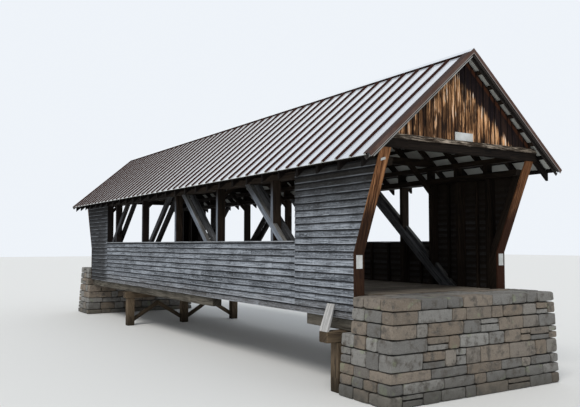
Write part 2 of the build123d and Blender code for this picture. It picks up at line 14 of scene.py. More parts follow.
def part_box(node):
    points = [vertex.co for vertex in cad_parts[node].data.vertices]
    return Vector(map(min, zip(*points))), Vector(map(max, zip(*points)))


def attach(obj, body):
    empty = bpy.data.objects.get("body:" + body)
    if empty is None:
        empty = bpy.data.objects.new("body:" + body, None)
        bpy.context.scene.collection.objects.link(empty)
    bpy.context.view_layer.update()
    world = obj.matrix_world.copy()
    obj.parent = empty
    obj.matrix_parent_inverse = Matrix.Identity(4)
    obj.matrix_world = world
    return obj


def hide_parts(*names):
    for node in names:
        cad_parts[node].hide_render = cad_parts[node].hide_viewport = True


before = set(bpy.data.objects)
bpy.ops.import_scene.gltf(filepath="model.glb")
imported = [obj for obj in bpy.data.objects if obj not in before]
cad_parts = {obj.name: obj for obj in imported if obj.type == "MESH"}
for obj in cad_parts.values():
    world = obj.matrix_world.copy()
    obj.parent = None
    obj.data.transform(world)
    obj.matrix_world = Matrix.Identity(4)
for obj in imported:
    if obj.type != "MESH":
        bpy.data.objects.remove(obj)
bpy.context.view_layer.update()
noise.seed_set(7)  # without it noise_vector drifts with the clock

# The walls
SIDING_FACE = 2.370
STUD_FACE = 2.340
WALL_END = 10.0
KINK = 3.02  # the ends lean out above this height
LEAN_PER_METRE = 0.92 / 2.19
EXPOSURE = 0.165
LAP = 0.032
BUTT = 0.021
FEATHER_EDGE = (0.001, 0.007)  # a board's thin top, back and front, off the studs
BOARD_LENGTHS = (2.3, 4.4)
FIRST_BOARD = 1.0  # the shortest board that starts a row, and the shortest that ends one
LAST_BOARD = 0.8
STUD_SPACING = 0.8125

# The trusses and windows
BRACE_JOINT = 2.15  # across the bridge, between a brace's two timbers
WINDOW_TOP = 4.85

# The gables and portals
GABLE_BOARD_WIDTHS = (0.10, 0.23)
GABLE_BOARD_GAPS = (0.002, 0.003, 0.004, 0.009)
GABLE_BOARD = 0.022
GABLE_NAIL_ROWS = (0.06, 0.75)
BEAM_FACE_BOARD = 0.030
WORN_STRIP = 0.101  # depth of the board along the top of the beam's face

# The roof
PITCH = radians(40.5)
RIB_SPACING = 0.495
RIB_FOOT = 0.070
RIB_TOP = 0.040
RIB_HEIGHT = 0.038
FOLD_SHADE = (0.014, 0.026)  # where the shade beside a rib starts to fade and where it ends
EAVE = 2.93
SHEET = 0.010
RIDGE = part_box("left_roof")[0].z + EAVE * tan(PITCH) + SHEET * cos(PITCH)
CAP_REACH = 0.112
PURLINS = 9
TOP_PURLIN = 0.112  # down the slope from the ridge
LAST_PURLIN = 0.065  # up the slope from the eave
SCREW_FROM_RIB = 0.055
CLOSURE_LINE = 0.103
TAIL_DEPTH = 0.150
TAIL_WIDTH = 0.075

# Below the floor
STAY_WIDTH = 0.29
STAY_THICKNESS = 0.050
STAY_RISE = 0.56
STAY_SLANT = 0.30
PLANK_WIDTHS = (0.20, 0.26)
WHEEL_TRACK = 0.85
SEAT = 1.33  # height of the bolsters' seat
SEAT_COURSES = 5
BACKING_COURSES = 3
BACKING_STEP = 0.055  # from the wall's end to the stones behind the seat
ABUTMENT_HALF = 2.45
ABUTMENT_SPREAD = 0.15
STONE_DEPTHS = (0.34, 0.56)
DEEPEST_STONE = 0.72
STONE_WIDTHS = (0.28, 1.05)
WIDEST_LAST = 0.62
NARROWEST_LAST = 0.26
SPLIT_STONES = 0.30  # share of the tall, narrow places that hold two thin stones
SPLIT_HEIGHT = 0.24
SPLIT_WIDTH = 0.75
STONE_CELLS = 5  # a stone's faces have so many cells each way

# Heads of nails and screws: radius and height
SIDING_NAIL = (0.0045, 0.0025)
GABLE_NAIL = (0.005, 0.003)
PATCH_NAIL = (0.004, 0.002)
PLATE_SCREW = (0.006, 0.003)
ROOF_SCREW = (0.005, 0.005)
WASHER = (0.009, 0.003)

# The photograph's view
CAMERA_AT = (21.468, -11.153, 3.212)
CAMERA_YAW = radians(147.94)
CAMERA_PITCH = radians(3.49)
CAMERA_LENS = 41.52
SENSOR = 36.0

SIDES = (("left", -1), ("right", 1))
ENDS = (("front", 1), ("back", -1))


# Mesh helpers

def linked(name, data):
    """A new object in the scene."""
    made = bpy.data.objects.new(name, data)
    bpy.context.scene.collection.objects.link(made)
    return made


def wander(point, seed, reach, rate=0.9):
    """A slow, repeatable drift for sawn and weathered wood."""
    return noise.noise_vector(Vector(point) * rate + Vector((seed, seed * 1.7, -seed))) * reach


class Work:
    """One mesh under construction, with a grain map, a tone for each board and its end grain."""

    HEAD_SIDES = 6

    def __init__(self, name, seed):
        self.name = name
        self.bm = bmesh.new()
        self.grain = self.bm.loops.layers.uv.new("grain")
        self.tone = self.bm.faces.layers.float.new("tone")
        self.end = self.bm.faces.layers.float.new("end_grain")
        self.rise = self.bm.verts.layers.float.new("rise")
        self.random = Random(seed)

    def close(self, faces, tone):
        """Gives new faces one tone and turns them outwards."""
        for face in faces:
            face[self.tone] = tone
        bmesh.ops.recalc_face_normals(self.bm, faces=faces)

    def sweep(self, rings, rises=()):
        """Joins rings of points into one closed board, with its grain along the way.

        rises holds, for each point of a ring, how far up (or across) the board it lies, from 0 to 1.
        """
        tone = self.random.random()
        shift = self.random.uniform(0, 40)
        rows = [[self.bm.verts.new(p) for p in ring] for ring in rings]
        count = len(rings[0])
        for row in rows if rises else ():
            for vert, rise in zip(row, rises):
                vert[self.rise] = rise
        around, along = [0.0], [0.0]
        for i in range(count):
            around.append(around[-1] + (rings[0][(i + 1) % count] - rings[0][i]).length)
        for a, b in zip(rings, rings[1:]):
            along.append(along[-1] + (b[0] - a[0]).length)
        made = []
        for r in range(len(rows) - 1):
            for i in range(count):
                j = (i + 1) % count
                face = self.bm.faces.new((rows[r][i], rows[r][j], rows[r + 1][j], rows[r + 1][i]))
                corners = ((r, i), (r, i + 1), (r + 1, i + 1), (r + 1, i))
                for loop, (u, v) in zip(face.loops, corners):
                    loop[self.grain].uv = (along[u] + shift, around[v] + shift * 0.37)
                made.append(face)
        for row, ring in ((rows[0], rings[0]), (rows[-1], rings[-1])):
            face = self.bm.faces.new(row)
            face[self.end] = 1.0
            side = (ring[1] - ring[0]).normalized()
            other = (ring[-1] - ring[0]).normalized()
            for loop in face.loops:
                d = loop.vert.co - ring[0]
                loop[self.grain].uv = (d.dot(side) + shift, d.dot(other) + shift)
            made.append(face)
        self.close(made, tone)

    def board(self, stations, ring, rises=()):
        """Sweeps a board through ring(t), with t going from 0 to 1."""
        self.sweep([ring(k / stations) for k in range(stations + 1)], rises)

    def stud_head(self, at, normal, radius, height):
        """A small domed head on a surface: a nail, a screw or a bolt."""
        up = Vector(normal).normalized()
        side = up.orthogonal().normalized()
        other = up.cross(side)
        turn = self.random.uniform(0, pi)
        turns = [turn + 2 * pi * k / self.HEAD_SIDES for k in range(self.HEAD_SIDES)]

        def ring(r, h):
            return [self.bm.verts.new(Vector(at) + up * h + (side * cos(a) + other * sin(a)) * r)
                    for a in turns]

        low, high = ring(radius, -0.001), ring(radius * 0.72, height)
        made = [self.bm.faces.new(high)]
        for k in range(self.HEAD_SIDES):
            j = (k + 1) % self.HEAD_SIDES
            made.append(self.bm.faces.new((low[k], low[j], high[j], high[k])))
        self.close(made, 0.5)

    def place(self, material, slot, replaces=(), bevel=0.0):
        """Makes the object, gives it its finish and lets it ride with the bridge."""
        mesh = bpy.data.meshes.new(self.name)
        self.bm.to_mesh(mesh)
        self.bm.free()
        mesh.materials.append(material)
        piece = linked(self.name, mesh)
        if bevel:
            rounding = piece.modifiers.new("worn edges", "BEVEL")
            rounding.width = bevel
            rounding.segments = 2
            rounding.limit_method = "ANGLE"
            rounding.angle_limit = radians(40)
        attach(piece, "root")
        if replaces:
            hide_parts(*replaces)


# Shader helpers

def rgba(paint):
    return (*paint, 1.0)


def darker(paint, share):
    return [c * share for c in paint]


class Nodes:
    """A node tree with short calls to add and join nodes."""

    def __init__(self, tree):
        self.tree = tree

    def add(self, kind, values=None, **settings):
        node = self.tree.nodes.new(kind)
        for key, value in settings.items():
            setattr(node, key, value)
        for key, value in (values or {}).items():
            if isinstance(value, bpy.types.NodeSocket):
                self.tree.links.new(value, node.inputs[key])
            else:
                node.inputs[key].default_value = value
        return node

    def math(self, operation, a, b=0.0, c=0.0):
        return self.add("ShaderNodeMath", {0: a, 1: b, 2: c}, operation=operation).outputs[0]

    def times(self, value, *others):
        for other in others:
            value = self.math("MULTIPLY", value, other)
        return value

    def linear(self, value, rate, start):
        return self.math("MULTIPLY_ADD", value, rate, start)

    def minus(self, a, b):
        return self.math("SUBTRACT", a, b)

    def invert(self, mask):
        return self.minus(1.0, mask)

    def vector(self, *parts):
        """A vector from values and (value, rate) pairs; a missing third part is 0."""
        parts = [self.times(*p) if isinstance(p, tuple) else p for p in parts]
        return self.add("ShaderNodeCombineXYZ", dict(enumerate(parts))).outputs[0]

    def parts(self, vector):
        return self.add("ShaderNodeSeparateXYZ", {0: vector}).outputs[:3]

    def noise(self, vector, scale, detail=3.0, rough=0.55):
        made = self.add("ShaderNodeTexNoise", {"Vector": vector, "Scale": scale,
                                               "Detail": detail, "Roughness": rough})
        return made.outputs["Fac"]

    def chance(self, value):
        """A random level that is the same wherever the value is."""
        made = self.add("ShaderNodeTexWhiteNoise", {"W": value}, noise_dimensions="1D")
        return made.outputs["Value"]

    def ramp(self, value, low, high):
        """0 at low, 1 at high, with a soft start and end."""
        made = self.add("ShaderNodeMapRange", {"Value": value, "From Min": low, "From Max": high},
                        interpolation_type="SMOOTHSTEP")
        return made.outputs["Result"]

    def mix(self, factor, a, b, blend="MIX"):
        made = self.add("ShaderNodeMix", {0: factor, 6: a, 7: b}, data_type="RGBA", blend_type=blend)
        return made.outputs[2]

    def fade(self, factor, first, second):
        """From one plain colour to another."""
        return self.mix(factor, rgba(first), rgba(second))

    def lay(self, colour, paint, mask, amount=1.0):
        """Lays a plain colour over another where the mask is 1."""
        return self.mix(self.times(mask, amount), colour, rgba(paint))

    def dim(self, colour, level):
        return self.mix(1.0, colour, self.vector(level, level, level), "MULTIPLY")

    def give(self, values):
        """Puts named values out of a node group."""
        for label in values:
            self.tree.interface.new_socket(label, in_out="OUTPUT", socket_type="NodeSocketFloat")
        self.add("NodeGroupOutput", values)


def new_group(name, place, settings):
    """A node group with a vector input and settings with their usual values: its Nodes, its inputs."""
    tree = bpy.data.node_groups.new(name, "ShaderNodeTree")
    tree.interface.new_socket(place, in_out="INPUT", socket_type="NodeSocketVector")
    for label, value in settings.items():
        socket = tree.interface.new_socket(label, in_out="INPUT", socket_type="NodeSocketFloat")
        socket.default_value = value
    n = Nodes(tree)
    return n, n.add("NodeGroupInput").outputs


def make_wood_grain():
    """Streaks, fine fibres, drying cracks and knots, laid out along a board's grain map."""
    n, given = new_group("wood grain", "Grain map",
                         {"Board": 0.5, "Streak width": 0.03, "Knot size": 0.02})
    along, across, _ = n.parts(given["Grain map"])
    away = n.times(given["Board"], 57.0)
    sway = n.noise(n.vector(along, across, away), 1.6, 2.0)
    bent = n.linear(sway, 0.05, across)
    per_metre = n.math("DIVIDE", 1.0, given["Streak width"])
    streaks = n.noise(n.vector((along, 1.3), (bent, per_metre), away), 1.0, 4.0, 0.62)
    fibres = n.noise(n.vector((along, 7.0), (bent, 260.0), away), 1.0, 2.0, 0.6)
    cracks = n.noise(n.vector((along, 1.9), (bent, 75.0), away), 1.0, 3.0, 0.5)
    cell = n.add("ShaderNodeTexVoronoi", {"Vector": n.vector((along, 1.1), (across, 4.0), away),
                                          "Scale": 1.0})
    knots = n.ramp(cell.outputs["Distance"], 0.0, n.times(given["Knot size"], 4.0))
    n.give({"Streaks": streaks, "Fibres": fibres, "Cracks": n.ramp(cracks, 0.63, 0.74),
            "Knots": n.invert(knots)})
    return n.tree


def make_weather():
    """Cloudy weathering, rain runs down a face and damp rising from the ground."""
    n, given = new_group("weather", "Place", {"Cloud size": 0.8, "Damp top": 1.0})
    x, y, z = n.parts(given["Place"])
    clouds = n.noise(given["Place"], n.math("DIVIDE", 1.0, given["Cloud size"]), 5.0, 0.6)
    level = n.math("ADD", x, y)
    runs = n.noise(n.vector((level, 14.0), (z, 0.7), (y, 2.0)), 1.0, 3.0, 0.6)
    edge = n.linear(clouds, 0.7, n.minus(z, 0.35))
    n.give({"Clouds": clouds, "Runs": n.ramp(runs, 0.48, 0.72),
            "Damp": n.invert(n.ramp(edge, 0.0, given["Damp top"]))})
    return n.tree


WOOD_GRAIN = make_wood_grain()
WEATHER = make_weather()


class Finish(Nodes):
    """A material with its shader, and what its colour goes by: place, facing and weather."""

    DRY = 0.08
    HARD = 0.5

    def __init__(self, name, cloud_size=0.8, damp_top=1.0):
        self.material = bpy.data.materials.new(name)
        self.material.use_nodes = True
        self.material.node_tree.nodes.clear()
        super().__init__(self.material.node_tree)
        self.shader = self.add("ShaderNodeBsdfPrincipled")
        self.add("ShaderNodeOutputMaterial", {0: self.shader.outputs[0]})
        geometry = self.add("ShaderNodeNewGeometry").outputs
        self.place = geometry["Position"]
        self.x, self.y, self.z = self.parts(self.place)
        self.aside = self.math("ABSOLUTE", self.y)
        self.facing = self.parts(geometry["True Normal"])
        self.outward = self.times(self.facing[1], self.math("SIGN", self.y))
        weather = self.add("ShaderNodeGroup", {"Place": self.place, "Cloud size": cloud_size,
                                               "Damp top": damp_top}, node_tree=WEATHER)
        self.clouds, self.runs, self.damp = weather.outputs[:3]

    def attribute(self, name):
        return self.add("ShaderNodeAttribute", attribute_name=name).outputs["Fac"]

    def uneven(self, value, clouds, streaks):
        """A value whose edges the clouds and the grain push to and fro."""
        value = self.linear(self.clouds, clouds, self.minus(value, clouds / 2))
        return self.linear(self.streaks, streaks, self.minus(value, streaks / 2))

    def shade(self, colour, roughness, height, depth, specular=DRY):
        """Feeds colour, roughness and a bump of that depth to the shader."""
        bump = self.add("ShaderNodeBump", {"Height": height, "Distance": depth, "Strength": 1.0})
        for label, value in (("Base Color", colour), ("Roughness", roughness),
                             ("Normal", bump.outputs[0])):
            self.tree.links.new(value, self.shader.inputs[label])
        self.shader.inputs["Specular IOR Level"].default_value = specular
        return self.material


def wood(name, pale, mid, dark, streak_width=0.03, knots=0.0, cracks=0.7, tones=0.35, clouds=0.3,
         damp=0.0, damp_top=1.2, runs=0.0, depth=0.004, extra=()):
    """Weathered wood from three colours; the functions in extra change the colour further."""
    f = Finish(name, damp_top=damp_top)
    f.tone = f.attribute("tone")
    grain = f.add("ShaderNodeGroup",
                  {"Grain map": f.add("ShaderNodeUVMap", uv_map="grain").outputs[0],
                   "Board": f.tone, "Streak width": streak_width}, node_tree=WOOD_GRAIN)
    f.streaks, fibres, crack_lines, knot_spots = grain.outputs[:4]
    colour = f.fade(f.ramp(f.streaks, 0.36, 0.66), mid, pale)
    colour = f.lay(colour, dark, f.ramp(f.streaks, 0.50, 0.30), 0.75)
    colour = f.dim(colour, f.linear(fibres, 0.55, 0.72))
    colour = f.dim(colour, f.linear(f.tone, 2 * tones, 1.0 - tones))
    colour = f.lay(colour, dark, f.ramp(f.clouds, 0.42, 0.66), clouds)
    damp_dark = (dark[0] * 0.55, dark[1] * 0.60, dark[2] * 0.55)
    for paint, mask, amount in ((dark, f.runs, runs), (darker(dark, 0.45), knot_spots, knots),
                                (darker(dark, 0.35), crack_lines, cracks), (damp_dark, f.damp, damp)):
        if amount:
            colour = f.lay(colour, paint, mask, amount)
    for change in extra:
        colour = change(f, colour)
    colour = f.lay(colour, darker(dark, 0.6), f.attribute("end_grain"), 0.45)
    height = f.linear(crack_lines, -0.7, f.linear(fibres, 0.25, f.times(f.streaks, 0.6)))
    return f.shade(colour, f.linear(fibres, 0.18, 0.72), height, depth)


# What weather and wear do to each kind of wood

def unweathered_and_shaded_top(f, colour):
    """Under the eaves the boards have greyed less and stay brown; towards the eaves they go near
    black, partly as painted shade from the eaves.
    """
    edge = f.uneven(f.z, clouds=0.60, streaks=0.30)
    colour = f.lay(colour, (0.026, 0.022, 0.017), f.ramp(edge, 3.50, 4.85), 0.90)
    return f.lay(colour, (0.13, 0.11, 0.09), f.ramp(edge, 2.05, 1.65), 0.35)


def shaded_end(f, colour):
    """Painted shade: the short panels at the back end are darkened for the trees' shadow."""
    return f.lay(colour, (0.024, 0.024, 0.025), f.ramp(f.x, -7.2, -8.2), 0.88)


def lap_shadows_and_highlights(f, colour):
    """Painted shadow just below the butt above, and a painted highlight along a board's own butt."""
    rise = f.attribute("rise")
    lap_shadow = f.ramp(f.uneven(rise, clouds=0.22, streaks=0.45), 0.60, 0.86)
    colour = f.lay(colour, (0.012, 0.012, 0.013), lap_shadow, 0.93)
    butt = f.times(f.ramp(rise, 0.20, 0.08), f.ramp(f.streaks, 0.40, 0.56))
    return f.lay(colour, (0.46, 0.49, 0.54), butt, 0.40)


def flaked_face(f, colour):
    """Short bluish flakes and dark splits all over the weathered faces."""
    flakes = f.noise(f.vector((f.x, 11.0), (f.z, 58.0), f.y), 1.0, 6.0, 0.72)
    colour = f.lay(colour, (0.47, 0.52, 0.59), f.ramp(flakes, 0.53, 0.64), 0.60)
    return f.lay(colour, (0.040, 0.042, 0.046), f.ramp(flakes, 0.44, 0.36), 0.70)


def unweathered_and_shaded_inside(f, colour):
    """The faces towards the roadway have never greyed and are dark brown, darkened further as painted
    shade of the covered roadway.
    """
    return f.lay(colour, (0.026, 0.019, 0.014), f.ramp(f.outward, -0.1, -0.5), 0.90)


def greyed_outside(f, colour):
    """Blue-grey weathering where a timber's face shows in the long window."""
    outside = f.times(f.ramp(f.outward, 0.4, 0.8), f.ramp(f.z, WINDOW_TOP, WINDOW_TOP - 0.65),
                      f.ramp(f.aside, STUD_FACE - 0.030, STUD_FACE - 0.005),
                      f.ramp(f.aside, STUD_FACE + 0.16, STUD_FACE + 0.11))
    grey = f.fade(f.ramp(f.streaks, 0.35, 0.65), (0.115, 0.130, 0.155), (0.290, 0.325, 0.380))
    return f.mix(f.times(outside, 0.72), colour, grey)


def weathered_tops(f, colour):
    """Rain through the long windows has greyed the outer braces' upper sides."""
    outer_timber = f.ramp(f.aside, BRACE_JOINT - 0.03, BRACE_JOINT + 0.03)
    greyed = f.times(f.ramp(f.facing[2], 0.2, 0.5), outer_timber)
    pale = f.fade(f.ramp(f.streaks, 0.35, 0.65), (0.090, 0.088, 0.085), (0.260, 0.250, 0.232))
    return f.mix(f.times(greyed, 0.75), colour, pale)


def dark_back(f, colour):
    """The trusses are darker over their back half."""
    return f.lay(colour, (0.014, 0.011, 0.010), f.ramp(f.x, -0.35, -0.90), 0.82)


def shaded_tails(f, colour):
    """Painted shade: past the walls, close under the sheets, the timbers are painted near black for
    the eaves' shadow.
    """
    past_wall = f.ramp(f.aside, SIDING_FACE - 0.01, SIDING_FACE + 0.05)
    return f.lay(colour, (0.004, 0.003, 0.003), past_wall, 0.80)


def worn_and_lit_strip(f, colour):
    """The board along the top of the portal beam's face is worn to bright, flaked wood; its brightness
    is partly a painted highlight where the proud board catches the light.
    """
    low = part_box("front_portal_beam")[1].z - WORN_STRIP
    flakes = f.noise(f.vector((f.y, 2.4), (f.z, 60.0), 3.0), 1.0, 5.0, 0.65)
    patches = f.noise(f.place, 1.7, 3.0, 0.6)
    worn = f.fade(f.times(f.ramp(flakes, 0.48, 0.60), f.ramp(patches, 0.30, 0.55)),
                  (0.034, 0.024, 0.017), (0.60, 0.50, 0.40))
    return f.mix(f.times(f.ramp(f.z, low, low + 0.002), 0.90), colour, worn)


def gable_bands(f, colour):
    """A black band along the right slope, with bright orange wood just below it."""
    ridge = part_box("ridge_cap")[1].z - 0.06
    right = f.minus(f.linear(f.y, -tan(PITCH), ridge), f.z)
    left = f.minus(f.linear(f.y, tan(PITCH), ridge), f.z)
    below = f.uneven(right, clouds=0.40, streaks=0.80)
    bare_wood = f.fade(f.ramp(f.streaks, 0.40, 0.55), (0.160, 0.060, 0.022), (1.0, 0.545, 0.265))
    bare_wood = f.lay(bare_wood, (1.0, 0.90, 0.78), f.ramp(f.streaks, 0.57, 0.64))
    patch = f.noise(f.vector((f.y, 5.2), (f.z, 0.85), 9.0), 1.0, 4.0, 0.62)
    past_band = f.ramp(below, 0.72, 0.84)
    bright = f.times(past_band, f.ramp(below, 1.55, 0.90), f.linear(f.tone, 0.35, 0.65))
    colour = f.mix(bright, colour, bare_wood)
    colour = f.lay(colour, (0.034, 0.020, 0.014), f.ramp(below, 1.20, 1.90), 0.50)
    colour = f.mix(f.times(f.ramp(patch, 0.48, 0.42), past_band, 0.90), colour, bare_wood)
    colour = f.lay(colour, (0.014, 0.009, 0.008), f.ramp(patch, 0.53, 0.59), 0.85)
    under_left = f.ramp(f.uneven(left, clouds=0.40, streaks=0.80), 0.38, 0.16)
    colour = f.lay(colour, (0.024, 0.014, 0.010), under_left, 0.55)
    stains = f.noise(f.vector((f.y, 13.0), (f.z, 0.9), 5.0), 1.0, 3.0, 0.6)
    colour = f.lay(colour, (0.012, 0.008, 0.007), f.ramp(stains, 0.545, 0.605), 0.85)
    colour = f.lay(colour, (0.011, 0.008, 0.010), f.ramp(below, 0.80, 0.68), 0.95)
    red_edge = f.times(f.ramp(right, 0.24, 0.19), f.ramp(right, 0.08, 0.12))
    colour = f.lay(colour, (0.120, 0.042, 0.018), red_edge, 0.55)
    across = f.attribute("rise")
    to_joint = f.math("MINIMUM", across, f.invert(across))
    return f.lay(colour, (0.006, 0.004, 0.004), f.ramp(to_joint, 0.15, 0.04), 0.90)


def pale_left(f, colour):
    """The left rake boards are pale; the right ones are nearly black."""
    dark = f.math("MAXIMUM", f.ramp(f.y, -0.06, -0.02), f.ramp(f.y, -2.84, -2.90))
    return f.lay(colour, (0.018, 0.012, 0.010), dark, 0.94)


def jamb_stain(f, colour):
    """Orange-brown where the jamb leans out, nearly black from the kink down."""
    low = f.ramp(f.uneven(f.z, clouds=1.3, streaks=1.6), 4.85, 3.55)
    colour = f.lay(colour, (0.022, 0.012, 0.009), low, 0.93)
    return f.lay(colour, (0.036, 0.010, 0.005), f.ramp(f.y, -0.5, 0.5), 0.50)


# Woods, each from its pale, middle and dark colour

SAWN = {"streak_width": 0.035, "knots": 0.5, "cracks": 0.8, "clouds": 0.35, "depth": 0.005}
HEWN = {"streak_width": 0.04, "cracks": 0.8, "clouds": 0.4, "depth": 0.007}
CLAPBOARD = wood("weathered clapboard", (0.322, 0.348, 0.388), (0.130, 0.143, 0.164),
                 (0.026, 0.027, 0.030), streak_width=0.022, knots=0.6, cracks=0.85, tones=0.38,
                 clouds=0.40, runs=0.25, depth=0.006,
                 extra=(flaked_face, unweathered_and_shaded_top, shaded_end, lap_shadows_and_highlights, unweathered_and_shaded_inside))
SILL_WOOD = wood("weathered sill", (0.40, 0.42, 0.45), (0.26, 0.275, 0.30), (0.09, 0.095, 0.10),
                 streak_width=0.02, tones=0.1, clouds=0.2)
GABLE_WOOD = wood("sun-worn gable boards", (0.52, 0.260, 0.115), (0.135, 0.056, 0.024),
                  (0.020, 0.010, 0.007), streak_width=0.040, knots=0.8, cracks=0.9, tones=0.55,
                  clouds=0.45, depth=0.008, extra=(gable_bands,))
JAMB_WOOD = wood("stained jamb", (0.500, 0.240, 0.108), (0.180, 0.070, 0.029),
                 (0.036, 0.016, 0.011), tones=0.12, clouds=0.35, extra=(jamb_stain,))
FRAME_WOOD = wood("old frame timber", (0.034, 0.024, 0.017), (0.016, 0.011, 0.008),
                  (0.006, 0.005, 0.004), tones=0.3,
                  extra=(greyed_outside, dark_back, shaded_tails), **SAWN)
BRACE_WOOD = wood("weathered brace", (0.125, 0.128, 0.136), (0.068, 0.068, 0.071),
                  (0.022, 0.021, 0.021), tones=0.25,
                  extra=(greyed_outside, weathered_tops, dark_back), **SAWN)
BEAM_WOOD = wood("portal beam", (0.024, 0.017, 0.013), (0.007, 0.005, 0.004), (0.002, 0.002, 0.002),
                 streak_width=0.018, knots=0.5, cracks=0.8, tones=0.10, clouds=0.45, depth=0.006,
                 extra=(worn_and_lit_strip,))
RAKE_WOOD = wood("rake boards", (0.50, 0.50, 0.48), (0.36, 0.36, 0.35), (0.14, 0.135, 0.13),
                 cracks=0.5, tones=0.08, clouds=0.2, extra=(pale_left,))
WET_WOOD = wood("damp substructure timber", (0.150, 0.112, 0.074), (0.088, 0.064, 0.043),
                (0.032, 0.024, 0.018), knots=0.5, tones=0.25, damp=0.8, damp_top=0.75, **HEWN)
BOLSTER_WOOD = wood("grey bolster timber", (0.150, 0.136, 0.112), (0.082, 0.073, 0.059),
                    (0.028, 0.024, 0.019), knots=0.4, tones=0.2, **HEWN)
PALE_PLANK = wood("sun-bleached plank", (0.52, 0.51, 0.50), (0.36, 0.355, 0.35), (0.15, 0.145, 0.14),
                  knots=0.5, tones=0.1, clouds=0.2)
DECK_WOOD = wood("worn deck plank", (0.26, 0.225, 0.185), (0.165, 0.138, 0.110),
                 (0.060, 0.048, 0.038), knots=0.5, cracks=0.8, tones=0.3, depth=0.006)


# Metal, stone and paint

def above_pans(f):
    """How far a point is above the roof pans, square to the slope."""
    return f.times(f.minus(f.linear(f.aside, tan(PITCH), f.z), RIDGE), cos(PITCH))


def roof_metal():
    """Brown paint whose pans mirror a low sky at a slant; pale primer underneath."""
    f = Finish("brown roof metal", cloud_size=1.6)
    panel = f.chance(f.math("FLOOR", f.math("DIVIDE", f.x, 2 * RIB_SPACING)))
    colour = f.dim(rgba((0.052, 0.026, 0.021)), f.linear(panel, 0.16, 0.92))
    colour = f.lay(colour, (0.115, 0.085, 0.075), f.ramp(f.clouds, 0.45, 0.75), 0.35)
    runs = f.noise(f.vector((f.x, 30.0), (f.y, 0.6)), 1.0)
    colour = f.lay(colour, (0.16, 0.13, 0.115), f.ramp(runs, 0.55, 0.75), 0.12)

    slanting = f.add("ShaderNodeLayerWeight", {"Blend": 0.5}).outputs["Facing"]
    sheen = f.times(f.ramp(slanting, 0.40, 0.78), f.ramp(f.facing[2], 0.45, 0.70), 0.95)
    low_sky = f.fade(f.ramp(slanting, 0.72, 0.86), (0.63, 0.675, 0.75), (0.95, 0.98, 1.0))
    colour = f.mix(sheen, colour, low_sky)

    # Painted shade: the rib tops and sides and a strip of pan beside each rib are painted darker
    # brown, without the pale sheen.
    on_rib = f.ramp(above_pans(f), 0.45 * RIB_HEIGHT, 0.85 * RIB_HEIGHT)
    from_rib = f.minus(RIB_SPACING / 2, f.math("PINGPONG", f.x, RIB_SPACING / 2))
    shade_beside_rib = f.ramp(from_rib, RIB_FOOT / 2 + FOLD_SHADE[1], RIB_FOOT / 2 + FOLD_SHADE[0])
    past_cap = f.ramp(f.aside, CAP_REACH, CAP_REACH + 0.004)
    on_rib = f.times(f.math("MAXIMUM", on_rib, shade_beside_rib), past_cap)
    ribs_and_shade = f.math("MAXIMUM", on_rib, f.ramp(f.math("ABSOLUTE", f.facing[0]), 0.30, 0.60))
    colour = f.lay(colour, (0.038, 0.0135, 0.0100), ribs_and_shade)

    primer = f.fade(f.ramp(f.clouds, 0.4, 0.7), (0.56, 0.57, 0.53), (0.40, 0.40, 0.37))
    # Painted shade: the sheets' underside past the rake boards is painted dark brown, as in the trim's
    # shadow.
    board_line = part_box("front_rake_boards")[0].x
    shaded_past_boards = f.ramp(f.math("ABSOLUTE", f.x), board_line - 0.01, board_line + 0.01)
    primer = f.lay(primer, (0.020, 0.013, 0.011), shaded_past_boards, 0.92)
    under = f.ramp(f.facing[2], -0.1, -0.3)
    colour = f.mix(under, colour, primer)

    roughness = f.linear(f.clouds, 0.16, 0.14)
    for mask, least in ((under, 0.6), (ribs_and_shade, 0.80)):
        roughness = f.math("MAXIMUM", roughness, f.times(mask, least))
    waves = f.noise(f.vector((f.x, 2.2), (f.y, 0.9), f.z), 1.0, 1.0)
    glossy = f.times(f.invert(under), f.invert(ribs_and_shade))
    f.tree.links.new(glossy, f.shader.inputs["Coat Weight"])
    f.shader.inputs["Coat Roughness"].default_value = 0.12
    f.shader.inputs["Coat IOR"].default_value = 1.5
    return f.shade(colour, roughness, waves, 0.004)


def trim_hem(f, colour):
    """The trim's upward flange is darker, its lower hem has a painted highlight line, and just below
    the hem runs a painted shadow line.
    """
    above = above_pans(f)
    colour = f.lay(colour, (0.026, 0.013, 0.010), f.ramp(f.facing[2], 0.3, 0.6), 0.88)
    hem = f.times(f.ramp(above, -0.032, -0.037), f.ramp(above, -0.050, -0.046))
    colour = f.lay(colour, (0.42, 0.39, 0.37), hem, 0.80)
    return f.lay(colour, (0.010, 0.007, 0.006), f.ramp(above, -0.046, -0.050), 0.90)


def brown_paint(name, dark, mid, pale, extra=()):
    """Brown baked paint on folded strips, a little chalky, with faint rain runs."""
    f = Finish(name, cloud_size=0.5)
    colour = f.fade(f.ramp(f.clouds, 0.40, 0.68), mid, pale)
    colour = f.lay(colour, dark, f.runs, 0.25)
    for change in extra:
        colour = change(f, colour)
    return f.shade(colour, f.linear(f.clouds, 0.25, 0.45), f.noise(f.place, 3.0, 2.0), 0.003)


